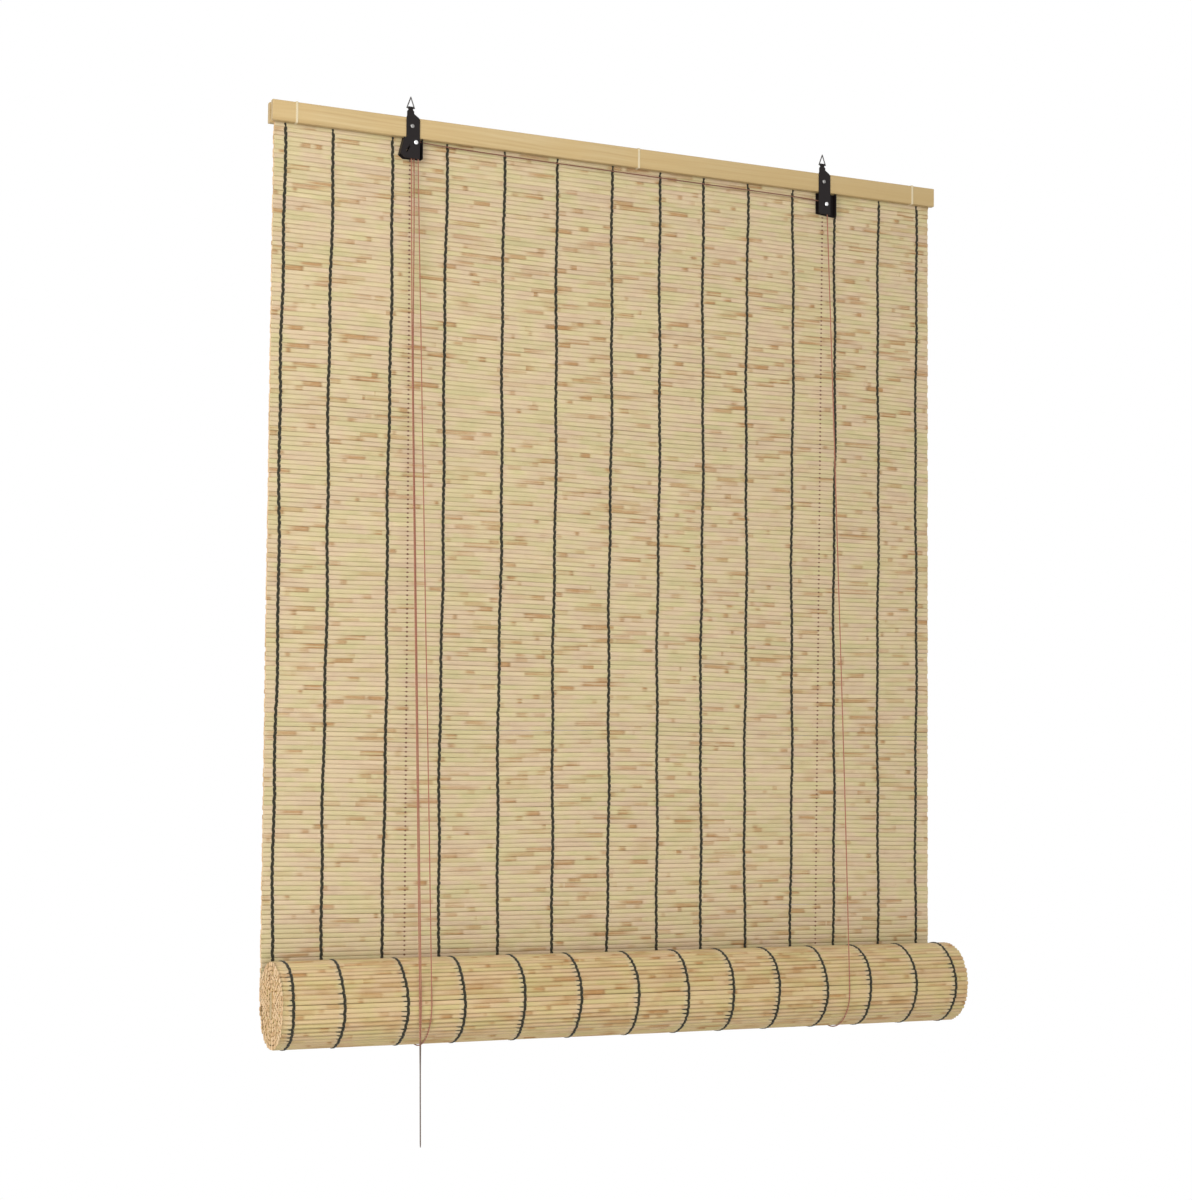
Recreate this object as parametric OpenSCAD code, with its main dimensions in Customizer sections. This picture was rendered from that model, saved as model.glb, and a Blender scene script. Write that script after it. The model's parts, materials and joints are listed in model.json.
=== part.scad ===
// Reed roll up blind, drawn half rolled up as it hangs.
// The origin is the middle of the headrail's back face: +X right, +Z up, the room is at -Y.

/* [Headrail] */
// Height of the headrail
rail_h = 27; // [24:0.5:36]
// Thickness of the front batten and of the back batten
batten_t = 9; // [8:0.5:13]
// How far each batten reaches past the mat at either end
rail_overhang = 4.5; // [1:0.5:20]
// Width of the break along the battens' edges
batten_chamfer = 1; // [0.5:0.1:2]
// Width of the ties wound round the rail
tie_w = 3; // [2:0.1:5]
// Thickness of the ties
tie_t = 0.6; // [0.4:0.1:1]
// Radius of the brads that join the battens
brad_r = 0.8; // [0.6:0.1:1.2]

/* [Reed mat] */
// Width of the mat, which is the length of one reed
mat_w = 1005; // [860:1:1400]
// Diameter of a reed
reed_d = 5.6; // [4.5:0.1:7]
// Distance from reed to reed
reed_pitch = 6.1; // [5.8:0.1:8]
// Thickness of the bridge that stands for the contact of two reeds
web_t = 2.4; // [1.6:0.1:3.4]
// Height of a gap where two reeds stand apart
slit_h = 0.7; // [0.4:0.1:1]
// Distance from the middle of the rail down to the axis of the roll
drop = 1159; // [700:1:2000]
// Width of a warp string
string_w = 2.6; // [1:0.1:3]
// How far a warp string stands proud of the reeds
string_t = 0.9; // [0.5:0.1:1.5]

/* [Roll] */
// Radius of the roll over its reeds
roll_r = 55.5; // [50:0.5:75]
// Height of the slat that the mat is rolled round
slat_h = 34; // [24:0.5:36]
// Thickness of the slat that the mat is rolled round
slat_t = 8; // [5:0.5:10]
// Turns of the roll between its outer turn and the slat
inner_turns = 4; // [3:1:4]

/* [Hooks] */
// Distance of each hook from the middle of the pair, in thousandths of the mat's width
hook_place = 315; // [280:1:360]
// How far the pair of hooks sits to the right of the blind's middle
hook_shift = 2.5; // [0:0.5:10]
// Width of a hook's strap
strap_w = 19; // [17:0.5:24]
// Thickness of the hooks' steel plate
plate_t = 1.2; // [0.8:0.1:1.6]
// Height of the ring's hinge above the middle of the rail
eye_z = 26; // [24:0.5:34]
// Wire radius of the hanging rings
wire_r = 0.8; // [0.6:0.05:1]
// Height of a hanging ring from its hinge to its tip
ring_h = 14.6; // [12:0.1:20]
// Half of the width of a hanging ring at its hinge
ring_half_w = 5.3; // [5:0.1:7]

/* [Pulleys and lock] */
// Outer radius of the pulley wheels
wheel_r = 5.5; // [5.2:0.1:6]
// Radius at the bottom of a wheel's groove
groove_r = 3.5; // [3:0.1:3.6]
// Radius of the axles
axle_r = 1.5; // [1.2:0.1:1.8]
// Running clearance of a wheel on its axle
axle_gap = 0.08; // [0.04:0.01:0.1]
// Depth of the left axle below the middle of the rail
left_axle_drop = 20; // [20:0.5:23]
// Depth of the right axle below the middle of the rail
right_axle_drop = 31; // [24:0.5:34]
// Radius of the lock's toothed roller
roller_r = 2.4; // [1.8:0.1:2.4]
// Travel of the roller along its slots
roller_travel = 9; // [6:0.5:10]

/* [Cords] */
// Diameter of the lift cords
cord_d = 1.8; // [1.2:0.1:2]

/* [Hidden] */
$fn = 32;

// Clearances: seat_gap between pieces that lie on each other, hole_gap round a fixed pin,
// side_gap beside a part that turns, and over as the overshoot of a cut.
seat_gap = 0.3;
hole_gap = 0.05;
side_gap = 0.25;
over = 1;

// The rail from the wall to the room, and the mat between its battens.
rail_w = mat_w + 2 * rail_overhang;
rail_d = 2 * batten_t + reed_d + 2 * seat_gap;
mat_y = -(batten_t + seat_gap + reed_d / 2);
mat_front = mat_y - reed_d / 2;
mat_back = mat_y + reed_d / 2;
rail_front = -rail_d;
rail_bottom = -rail_h / 2;
mat_top = rail_h / 2 - 1.5;
mat_bottom = -drop + seat_gap;
reed_count = round((mat_top - mat_bottom) / reed_pitch);
pitch = (mat_top - mat_bottom) / reed_count;
crest = 0.27;

// The warp strings, as shares of half of the mat's width.
// The ones outside the hooks keep at least hook_reach from a hook's middle.
string_shares = [-0.971, -0.841, -0.675, -0.521, -0.355, -0.197, -0.031,
                 0.117, 0.253, 0.393, 0.542, 0.681, 0.828, 0.958];
hook_x = round(hook_place * mat_w / 500) / 2;
function hook_at(side) = side * hook_x + hook_shift;
hook_reach = strap_w / 2 + 13;
string_xs = [for (s = string_shares)
    let (x = abs(s) * mat_w / 2)
    sign(s) * (x > hook_x ? max(x, hook_x + hook_reach) : x)];
string_clear = 6;
slits_per_bay = 9;

// The rail's ties and brads, as shares of half of the rail's length.
tie_xs = [for (s = [-0.936, 0.04, 0.925]) s * rail_w / 2];
brad_xs = [for (s = [-0.85, -0.42, -0.15, 0.15, 0.42, 0.85]) s * rail_w / 2];
brad_head_r = 2.2 * brad_r;
brad_head_t = 0.8;
brad_end = 3;

// The roll, tangent to the mat at its back.
roll_y = mat_y - (roll_r - reed_d / 2);
roll_z = -drop;
valley_depth = 1.2;
flat_off = roll_r - reed_d - string_t - seat_gap;
flat_angle = acos(flat_off / roll_r);
roll_reeds = round(2 * PI * (roll_r - reed_d / 2) * (360 - flat_angle) / 360 / reed_pitch);
turn_gap = 0.5;
slat_chamfer = 2;
turn_steps = 24;

// The bay between the plates of each hook, with a front and a rear lane for the wheels.
cheek_y = mat_front - seat_gap;
bay_back = cheek_y - plate_t;
bay = bay_back - rail_front;
wheel_w = (bay - 3 * side_gap) / 2;
front_lane = rail_front + side_gap + wheel_w / 2;
rear_lane = front_lane + wheel_w + side_gap;
housing_top = rail_bottom - 0.7;
housing_bottom = rail_bottom - 28.5;
axle_dx = 4;
right_axle_dx = 3;
screw_dx = -1.3;
screw_z = 1.5;
screw_r = 1.5;
screw_head_r = 2.6;
tab_dx = -strap_w / 2 + 5.6;
tab_half_w = 4.9;
eye_r = 2;
eye_half_w = 3.3;
lock_angle = 29;
groove_w = cord_d + 0.8;
cord_path_r = groove_r + seat_gap + cord_d / 2;
roller_x = axle_dx - cord_path_r - cord_d / 2 - seat_gap - roller_r;
roller_z = -left_axle_drop - 5;
roller_pin_r = 1;
roller_teeth = 10;

// The lift cords lie on the roll, in front of it and behind it.
bight_r = roll_r + 2 * seat_gap + cord_d / 2;
front_y = roll_y - bight_r;
back_y = roll_y + bight_r;

// A straight fall of cord from top to the front of the roll, at X values in equal steps down.
function fall(top, xs) = concat([top], [for (i = [1 : len(xs)])
    let (share = i / len(xs))
    [xs[i - 1], top[1] + share * (front_y - top[1]), top[2] - share * (drop + top[2])]]);

// The free end of a pull cord, at X values and distances behind the front of the roll and below
// its axis.
function tail_of(xs, backs, falls) =
    [for (i = [0 : len(xs) - 1]) [xs[i], front_y + backs[i], -drop - falls[i]]];

// The axles of the wheels, as X from their hook and Z.
left_hub = [axle_dx, -left_axle_drop];
right_hub = [right_axle_dx, -right_axle_drop];

// A cord's point beside a wheel. Its distances from the axle are shares of cord_path_r.
function by_wheel(hub, lane, p) = [hub[0] + cord_path_r * p[0], lane, hub[1] + cord_path_r * p[1]];

// A point below a housing, where a cord leans out of its lane towards the room.
out_drop = 23;
front_lean = 0.8;
rear_lean = 1.9;
function out_of(hub, y, x) = [x, y, hub[1] - out_drop];

// Routes of the cords, in points chosen along what carries them, with X from their hook.
left_front_route = concat([by_wheel(left_hub, front_lane, [1, 0])],
                          fall(out_of(left_hub, front_lane - front_lean, 8.2),
                               [7.7, 7.3, 7.1, 6.4]));
right_front_route = concat([by_wheel(right_hub, rear_lane, [1, 0])],
                           fall(out_of(right_hub, rear_lane - rear_lean, 7.6),
                                [3.3, -1.4, -6.2, -12.4]));
left_back_route = [[-1, back_y, rail_bottom], [3, back_y, -drop / 2], [5.6, back_y, -drop]];
right_back_route = [[2.5, back_y, rail_bottom], [-2.1, back_y, -drop / 2], [-6.9, back_y, -drop]];
over_front_wheel = [[1, 0.06], [0.77, 0.66], [0, 1], [-0.77, 0.66], [-1, 0]];
over_rear_wheel = [[-0.04, 1], [-0.77, 0.66], [-1, 0]];
pull_a_route = concat([for (p = over_front_wheel) by_wheel(left_hub, front_lane, p)],
                      fall(out_of(left_hub, front_lane - front_lean, -1.4),
                           [-5.1, -6.9, -8.3, -9.9]));
pull_b_route = concat([for (p = over_rear_wheel) by_wheel(left_hub, rear_lane, p)],
                      fall(out_of(left_hub, rear_lane - rear_lean, 3.2),
                           [-3, -4.8, -6.2, -7.8]));
pull_a_tail = tail_of([-9.9, -9.2, -8.1, -7.4, -6.8], [0, 0, 0, 0, 0], [0.3, 41, 91, 141, 179]);
pull_b_tail = tail_of([-7.8, -7.6, -7.4, -6.7, -6.2], [0, 1.5, 1.9, 1.9, 1.9], [0.3, 41, 91, 141, 175]);
left_bight_xs = [5.6, 6.4];
right_bight_xs = [-6.9, -12.4];

// Route of the cross cord, with X in the row frame: round the right wheel, over to the left.
// Between the hooks its Z is given as the height above the line through both axles.
over_right_wheel = [[1, 0.06], [0.77, 0.7], [0, 1], [-2.45, 1.17]];
onto_left_wheel = [[3.5, 0.51], [0.04, 1]];
between_hooks = [[0.844, 6.1], [0.378, 4.6], [-0.07, 3.4], [-0.583, 2.1]];
cross_fall = right_axle_drop - left_axle_drop;
cross_route = concat(
    [for (p = over_right_wheel) by_wheel(right_hub, rear_lane, p) + [hook_at(1), 0, 0]],
    [for (p = between_hooks)
        [hook_at(p[0]), rear_lane, p[1] - left_axle_drop - cross_fall * (1 + p[0]) / 2]],
    [for (p = onto_left_wheel) by_wheel(left_hub, rear_lane, p) + [hook_at(-1), 0, 0]]);

function unit(v) = v / norm(v);

// Direction of a route at point i, from its neighbours.
function heading(route, i) =
    unit(route[min(i + 1, len(route) - 1)] - route[max(i - 1, 0)]);

// One ring of a cord: eight points round the route, square to its heading.
function cord_ring(route, i, side) =
    let (t = heading(route, i), u = unit(cross(t, side)), v = cross(u, t))
    [for (a = [22.5 : 45 : 359]) route[i] + cord_d / 2 * (cos(a) * u + sin(a) * v)];

// A cord along a route. side is a direction that the route never takes.
module cord(route, side) {
    rings = len(route);
    sides = 8;
    points = [for (i = [0 : rings - 1]) each cord_ring(route, i, side)];
    ends = [[for (k = [sides - 1 : -1 : 0]) k],
            [for (k = [0 : sides - 1]) (rings - 1) * sides + k]];
    walls = [for (i = [0 : rings - 2], k = [0 : sides - 1])
        let (a = i * sides + k, b = i * sides + (k + 1) % sides)
        each [[a, b, b + sides], [a, b + sides, a + sides]]];
    polyhedron(points = points, faces = concat(ends, walls));
}

// Extrudes an outline given in Y and Z along X, centred on the middle of the blind.
module along_x(length) {
    translate([-length / 2, 0, 0])
        rotate([90, 0, 90])
            linear_extrude(length)
                children();
}

// Extrudes an outline given in X and Z from the plane y towards the room.
module towards_room(y, depth) {
    translate([0, y, 0])
        rotate([90, 0, 0])
            linear_extrude(depth)
                children();
}

// A round pin, or the cut for one, from the plane y towards the room.
module pin(x, z, y, depth, r) {
    translate([x, y, z])
        rotate([90, 0, 0])
            cylinder(h = depth, r = r);
}

// A rectangle with broken corners, from one corner to the other.
module chamfered(low, high, c) {
    polygon([[low[0] + c, low[1]], [high[0] - c, low[1]], [high[0], low[1] + c],
             [high[0], high[1] - c], [high[0] - c, high[1]], [low[0] + c, high[1]],
             [low[0], high[1] - c], [low[0], low[1] + c]]);
}

// Front batten, bored for the hooks' screws and, from behind, for the brads.
module front_batten() {
    color("burlywood")
    difference() {
        along_x(rail_w)
            chamfered([rail_front, rail_bottom], [rail_front + batten_t, rail_h / 2],
                      batten_chamfer);
        for (x = brad_xs)
            pin(x, 0, over, rail_d - brad_end + over, brad_r + hole_gap);
        for (side = [-1, 1])
            pin(hook_at(side) + screw_dx, screw_z, over, rail_d + 2 * over,
                screw_r + hole_gap);
    }
}

// Back batten, with shallow grooves that let the ties lie flush with its back.
module back_batten() {
    color("burlywood")
    difference() {
        along_x(rail_w)
            chamfered([-batten_t, rail_bottom], [0, rail_h / 2], batten_chamfer);
        for (x = brad_xs) {
            pin(x, 0, over, batten_t + 2 * over, brad_r + hole_gap);
            pin(x, 0, over, over + brad_head_t + hole_gap, brad_head_r + hole_gap);
        }
        for (side = [-1, 1])
            pin(hook_at(side) + screw_dx, screw_z, -brad_end, batten_t, screw_r + hole_gap);
        for (x = tie_xs)
            translate([x - tie_w / 2 - hole_gap, -tie_t - hole_gap, -rail_h])
                cube([tie_w + 2 * hole_gap, batten_t, 2 * rail_h]);
    }
}

// Three pale ties round both battens. Each passes under the rail between two reeds.
module rail_ties() {
    color("wheat")
    for (x = tie_xs)
        translate([x, 0, 0])
            along_x(tie_w)
                difference() {
                    translate([rail_front - tie_t, rail_bottom - tie_t])
                        square([rail_d + tie_t, rail_h + 2 * tie_t]);
                    translate([rail_front, rail_bottom])
                        square([rail_d - tie_t, rail_h]);
                }
}

// Brads driven from behind, with their heads set into the back batten.
module rail_brads() {
    color("silver")
    for (x = brad_xs) {
        pin(x, 0, -brad_head_t / 2, rail_d - brad_end - 1, brad_r);
        pin(x, 0, 0, brad_head_t, brad_head_r);
    }
}

// Outline of the mat seen from its end: every reed is a ridge on both faces.
function mat_face(sign) =
    [for (i = [0 : reed_count - 1])
        let (z = mat_bottom + i * pitch)
        each [[mat_y + sign * web_t / 2, z],
              [mat_y + sign * reed_d / 2, z + crest * pitch],
              [mat_y + sign * reed_d / 2, z + (1 - crest) * pitch]]];

function reversed(list) = [for (i = [len(list) - 1 : -1 : 0]) list[i]];

// Gaps between reeds, spread over the bays between the warp strings.
module mat_slits() {
    rows = reed_count - 14;
    for (bay_no = [0 : len(string_xs) - 2], k = [0 : slits_per_bay - 1]) {
        row = 4 + (bay_no * 53 + k * floor(rows / slits_per_bay) + (bay_no * k) % 7) % rows;
        left = string_xs[bay_no] + string_clear;
        right = string_xs[bay_no + 1] - string_clear;
        translate([left, mat_y - reed_d, mat_bottom + row * pitch - slit_h / 2])
            cube([right - left, 2 * reed_d, slit_h]);
    }
}

// The hanging stretch of the mat, clamped in the rail and let through for its fixings.
module hanging_mat() {
    color("khaki")
    difference() {
        along_x(mat_w)
            polygon(concat(mat_face(-1), [[mat_y - web_t / 2, mat_top]],
                           [[mat_y + web_t / 2, mat_top]], reversed(mat_face(1))));
        mat_slits();
        for (x = brad_xs)
            translate([x - 2 * brad_r, mat_y - reed_d, -2 * brad_r])
                cube([4 * brad_r, 2 * reed_d, 4 * brad_r]);
        for (side = [-1, 1])
            translate([hook_at(side) + screw_dx - 2, mat_y - reed_d, screw_z - 2])
                cube([4, 2 * reed_d, 4]);
        for (x = tie_xs)
            translate([x - tie_w / 2 - seat_gap, mat_y - reed_d, rail_bottom - 3 * tie_t])
                cube([tie_w + 2 * seat_gap, 2 * reed_d, 3.5 * tie_t]);
    }
}

// Warp strings on one face of the hanging mat, lying on the crests of the reeds.
module strings_on(face_y) {
    color("darkolivegreen")
    for (x = string_xs)
        translate([x - string_w / 2, face_y, mat_bottom])
            cube([string_w, string_t, rail_bottom - mat_bottom]);
}

module front_strings() strings_on(mat_front - string_t);

module back_strings() strings_on(mat_back);

// Outline of a strap from its lower edge to the eye, without a lower flare.
// lower lists the points below the rail, from left to right.
module strap_outline(lower) {
    shoulder_z = rail_h / 2;
    tab_right = tab_dx + tab_half_w;
    polygon(concat(lower, [
        [strap_w / 2, shoulder_z - 2.5], [strap_w / 2 - 1.5, shoulder_z],
        [tab_right, shoulder_z + 5], [tab_right, eye_z - 4.4],
        [tab_dx + eye_half_w, eye_z - 2.8], [tab_dx + eye_half_w, eye_z],
        [tab_dx - eye_half_w, eye_z], [tab_dx - eye_half_w, eye_z - 2.8],
        [tab_dx - tab_half_w, eye_z - 4.4], [tab_dx - tab_half_w, shoulder_z + 2],
        [-strap_w / 2, shoulder_z]]));
}

// A strap lies on the front of the rail. Its top is curled into the eye of the ring.
module strap(side, lower, axle_x, axle_drop) {
    plate_mid = rail_front - plate_t / 2;
    translate([hook_at(side), 0, 0])
        difference() {
            union() {
                towards_room(rail_front, plate_t)
                    strap_outline(lower);
                translate([tab_dx - eye_half_w, plate_mid, eye_z])
                    rotate([0, 90, 0])
                        cylinder(h = 2 * eye_half_w, r = eye_r);
            }
            translate([tab_dx - eye_half_w - over, plate_mid, eye_z])
                rotate([0, 90, 0])
                    cylinder(h = 2 * eye_half_w + 2 * over, r = wire_r + 0.2);
            pin(screw_dx, screw_z, rail_front + over, plate_t + 2 * over, screw_r + hole_gap);
            pin(axle_x, -axle_drop, rail_front + over, plate_t + 2 * over,
                axle_r + hole_gap);
        }
}

// Slanted slot for the ends of the lock roller, cut from the plane y towards the room.
module lock_slot(y, depth) {
    half_w = roller_pin_r + 0.15;
    translate([roller_x, y, roller_z])
        rotate([90, lock_angle, 0])
            linear_extrude(depth)
                translate([-half_w, -roller_travel - half_w])
                    square([2 * half_w, roller_travel + 2 * half_w]);
}

// Left edge of the lock, which flares out below the rail to make room for the roller.
flare = [[-12.5, housing_top], [-18, housing_bottom + 5], [-11.5, housing_bottom]];

// Strap of the left hook, whose lower end is the front plate of the cord lock.
module left_strap() {
    color("dimgray")
    difference() {
        strap(-1, [[-strap_w / 2, housing_top], flare[0], flare[1], flare[2],
                   [strap_w / 2, housing_bottom]], axle_dx, left_axle_drop);
        translate([hook_at(-1), 0, 0])
            lock_slot(rail_front + over, plate_t + 2 * over);
    }
}

// Back plate of the cord lock with its two walls. The cross cord enters through a notch.
module left_lock_housing() {
    wall_x = strap_w / 2 + 5;
    color("dimgray")
    translate([hook_at(-1), 0, 0])
        difference() {
            union() {
                towards_room(cheek_y, plate_t)
                    polygon([flare[0], flare[1], flare[2], [wall_x, housing_bottom + 1],
                             [wall_x, housing_top]]);
                towards_room(cheek_y, cheek_y - rail_front)
                    polygon([flare[0], flare[1], flare[1] + [plate_t, 0],
                             flare[0] + [plate_t, 0]]);
                towards_room(cheek_y, cheek_y - rail_front)
                    polygon([[wall_x - plate_t, housing_bottom + 1],
                             [wall_x, housing_bottom + 1], [wall_x, housing_top],
                             [wall_x - plate_t, housing_top]]);
            }
            pin(axle_dx, -left_axle_drop, cheek_y + over, plate_t + 2 * over,
                axle_r + hole_gap);
            lock_slot(cheek_y + over, plate_t + 2 * over);
            translate([wall_x - 2 * plate_t, rear_lane - wheel_w / 2, housing_top - 7])
                cube([3 * plate_t, wheel_w, 7 + over]);
        }
}

// Strap of the right hook, with a straight lower end.
module right_strap() {
    color("dimgray")
    strap(1, [[-strap_w / 2, housing_bottom - 2], [-strap_w / 2 + 2, housing_bottom - 4],
              [strap_w / 2, housing_bottom - 4]], right_axle_dx, right_axle_drop);
}

// Back plate of the right hook, wider than its strap, with a wall at its outer edge.
module right_housing() {
    wall_x = strap_w / 2 + 11;
    bottom = housing_bottom - 5.5;
    color("dimgray")
    translate([hook_at(1), 0, 0])
        difference() {
            union() {
                towards_room(cheek_y, plate_t)
                    polygon([[-strap_w / 2, housing_top], [-strap_w / 2, bottom + 3],
                             [wall_x, bottom], [wall_x, housing_top]]);
                towards_room(cheek_y, cheek_y - rail_front)
                    polygon([[wall_x - plate_t, bottom], [wall_x, bottom],
                             [wall_x, housing_top], [wall_x - plate_t, housing_top]]);
            }
            pin(right_axle_dx, -right_axle_drop, cheek_y + over, plate_t + 2 * over,
                axle_r + hole_gap);
        }
}

// Screw through a strap and the rail into the back batten, with a low coned head.
module screw(side) {
    color("silver")
    translate([hook_at(side) + screw_dx, rail_front - plate_t, screw_z])
        rotate([90, 0, 0]) {
            translate([0, 0, -rail_d - plate_t + brad_end + 1])
                cylinder(h = rail_d + plate_t - brad_end - 1 + 0.4, r = screw_r);
            cylinder(h = 0.8, r = screw_head_r);
            translate([0, 0, 0.8])
                cylinder(h = 0.6, r1 = screw_head_r, r2 = 0.6 * screw_head_r);
        }
}

module left_screw() screw(-1);

module right_screw() screw(1);

// Axle riveted through both plates of a hook. collar is the length of its wider front.
module axle(x, drop_z, collar) {
    head_r = axle_r + 1.3;
    length = cheek_y - rail_front + plate_t;
    color("silver")
    translate([x, rail_front - plate_t, -drop_z])
        rotate([90, 0, 0]) {
            translate([0, 0, -length])
                cylinder(h = length + 0.4, r = axle_r);
            translate([0, 0, -plate_t - collar])
                cylinder(h = collar, r = axle_r + 1);
            cylinder(h = 0.9, r = head_r);
            translate([0, 0, 0.9])
                cylinder(h = 0.6, r1 = head_r, r2 = 0.6 * head_r);
        }
}

module left_axle() axle(hook_at(-1) + axle_dx, left_axle_drop, side_gap - 0.05);

module right_axle() axle(hook_at(1) + right_axle_dx, right_axle_drop, wheel_w + side_gap);

// Grooved wheel on an axle, its middle in the given lane.
module wheel(x, lane, drop_z) {
    half_w = wheel_w / 2;
    color("tan")
    translate([x, lane, -drop_z])
        rotate([90, 0, 0])
            rotate_extrude()
                polygon([[axle_r + axle_gap, -half_w], [wheel_r, -half_w],
                         [wheel_r, -groove_w / 2 - 0.1], [groove_r, -groove_w / 2 + 0.3],
                         [groove_r, groove_w / 2 - 0.3], [wheel_r, groove_w / 2 + 0.1],
                         [wheel_r, half_w], [axle_r + axle_gap, half_w]]);
}

module left_front_wheel() wheel(hook_at(-1) + axle_dx, front_lane, left_axle_drop);

module left_rear_wheel() wheel(hook_at(-1) + axle_dx, rear_lane, left_axle_drop);

module right_wheel() wheel(hook_at(1) + right_axle_dx, rear_lane, right_axle_drop);

// Toothed roller of the cord lock, with a pin at each end that runs in the slots.
module lock_roller() {
    body = bay - 2 * side_gap;
    color("gray")
    translate([hook_at(-1) + roller_x, 0, roller_z]) {
        translate([0, bay_back - side_gap, 0])
            rotate([90, 0, 0])
                linear_extrude(body)
                    polygon([for (i = [0 : 2 * roller_teeth - 1])
                        let (a = i * 180 / roller_teeth, r = roller_r - 0.4 * (i % 2))
                        [r * cos(a), r * sin(a)]]);
        pin(0, 0, cheek_y, cheek_y - rail_front + plate_t + 0.5, roller_pin_r);
    }
}

// A straight length of ring wire between two points given in X and Z.
module wire(a, b) {
    d = b - a;
    translate([a[0], 0, a[1]])
        rotate([0, atan2(d[0], d[1]), 0])
            cylinder(h = norm(d), r = wire_r);
}

// Pointed wire ring that hangs the blind, hinged in the eye of its strap.
module ring(side) {
    corners = [[-ring_half_w, 0], [0, ring_h], [ring_half_w, 0]];
    color("lightgray")
    translate([hook_at(side) + tab_dx, rail_front - plate_t / 2, eye_z]) {
        for (i = [0 : 2]) {
            wire(corners[i], corners[(i + 1) % 3]);
            translate([corners[i][0], 0, corners[i][1]])
                sphere(r = 1.08 * wire_r);
        }
    }
}

module left_ring() ring(-1);

module right_ring() ring(1);

// Radius of a boxy oval with half sizes a and b, at an angle from the Y axis.
function oval(a, b, angle) =
    pow(pow(abs(cos(angle)) / b, 4) + pow(abs(sin(angle)) / a, 4), -0.25);

// Turns counted inwards from where the mat leaves the roll. Each turn steps in at its end,
// where it passes under the turn outside it.
function layer(t) = floor(t) + max(0, (t - floor(t) - 0.88) / 0.12);

// Radius of the gap under turn t: round outside, and drawn to the slat's shape inside.
function turn_r(t) =
    let (share = layer(t) / inner_turns,
         outer = flat_off - turn_gap / 2,
         inner = oval(slat_h / 2 + reed_d + 2 * seat_gap, slat_t / 2 + reed_d + 2 * seat_gap,
                      360 * t))
    outer + share * (inner - outer);

// A point of the roll's section, at a radius and an angle that runs from the mat downwards.
function roll_point(r, angle) = [r * cos(angle), -r * sin(angle)];

// Outline of the roll: a ridge for each reed of the outer turn, and a flat beside the mat.
module roll_outline() {
    step = (360 - flat_angle) / roll_reeds;
    ridges = [for (i = [0 : roll_reeds - 1])
        each [roll_point(roll_r - valley_depth, i * step),
              roll_point(roll_r, (i + crest) * step),
              roll_point(roll_r, (i + 1 - crest) * step)]];
    polygon(concat(ridges, [[flat_off, flat_off * tan(flat_angle) - 3], [flat_off, 0]]));
}

// The gap between the turns, from just inside the outer turn's end to the last turn.
module turn_groove() {
    ts = [for (i = [1 : turn_steps * inner_turns - 4]) i / turn_steps];
    polygon(concat([for (t = ts) roll_point(turn_r(t) + turn_gap / 2, 360 * t)],
                   reversed([for (t = ts) roll_point(turn_r(t) - turn_gap / 2, 360 * t)])));
}

// The rolled stretch of the mat, wound round the slat.
module rolled_mat() {
    color("burlywood")
    translate([0, roll_y, roll_z])
        along_x(mat_w)
            difference() {
                roll_outline();
                turn_groove();
                square([slat_t + 2 * seat_gap, slat_h + 2 * seat_gap], center = true);
            }
}

// Warp strings round the outside of the roll, up to where they run in under the mat.
module roll_strings() {
    steps = 20;
    first = 4;
    last = 360 - flat_angle - 4;
    angles = [for (i = [0 : steps]) first + (last - first) * i / steps];
    inner = roll_r / cos((last - first) / steps / 2);
    color("darkolivegreen")
    for (x = string_xs)
        translate([x, roll_y, roll_z])
            along_x(string_w)
                polygon(concat([for (a = angles) roll_point(inner + string_t, a)],
                               reversed([for (a = angles) roll_point(inner, a)])));
}

// Flat slat in the middle of the roll, which weights the foot of the mat.
module bottom_slat() {
    color("tan")
    translate([0, roll_y, roll_z])
        along_x(mat_w)
            chamfered([-slat_t / 2, -slat_h / 2], [slat_t / 2, slat_h / 2], slat_chamfer);
}

// The stretch of a lift cord that cradles the roll, from its back to its front.
function bight(xs) =
    [for (a = [0 : 15 : 180])
        [xs[0] + (xs[1] - xs[0]) * a / 180,
         roll_y + bight_r * cos(a), roll_z - seat_gap - bight_r * sin(a)]];

// A cord that belongs to the left hook or to the right one.
module hook_cord(hook_side, route, side) {
    color("rosybrown")
    translate([hook_at(hook_side), 0, 0])
        cord(route, side);
}

module left_lift_front() hook_cord(-1, left_front_route, [1, 0, 0]);

module left_lift_back() hook_cord(-1, left_back_route, [1, 0, 0]);

module left_lift_bight() hook_cord(-1, bight(left_bight_xs), [1, 0, 0]);

module right_lift_front() hook_cord(1, right_front_route, [0, 1, 0]);

module right_lift_back() hook_cord(1, right_back_route, [1, 0, 0]);

module right_lift_bight() hook_cord(1, bight(right_bight_xs), [1, 0, 0]);

module cross_cord() color("rosybrown") cord(cross_route, [0, 1, 0]);

module pull_cord_a_upper() hook_cord(-1, pull_a_route, [0, 1, 0]);

module pull_cord_b_upper() hook_cord(-1, pull_b_route, [0, 1, 0]);

module pull_cord_a_lower() hook_cord(-1, pull_a_tail, [0, 1, 0]);

module pull_cord_b_lower() hook_cord(-1, pull_b_tail, [0, 1, 0]);

front_batten();
back_batten();
rail_ties();
rail_brads();
hanging_mat();
front_strings();
back_strings();
left_strap();
left_lock_housing();
left_screw();
left_axle();
left_front_wheel();
left_rear_wheel();
lock_roller();
left_ring();
right_strap();
right_housing();
right_screw();
right_axle();
right_wheel();
right_ring();
rolled_mat();
roll_strings();
bottom_slat();
left_lift_front();
left_lift_back();
left_lift_bight();
right_lift_front();
right_lift_back();
right_lift_bight();
cross_cord();
pull_cord_a_upper();
pull_cord_b_upper();
pull_cord_a_lower();
pull_cord_b_lower();
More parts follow.
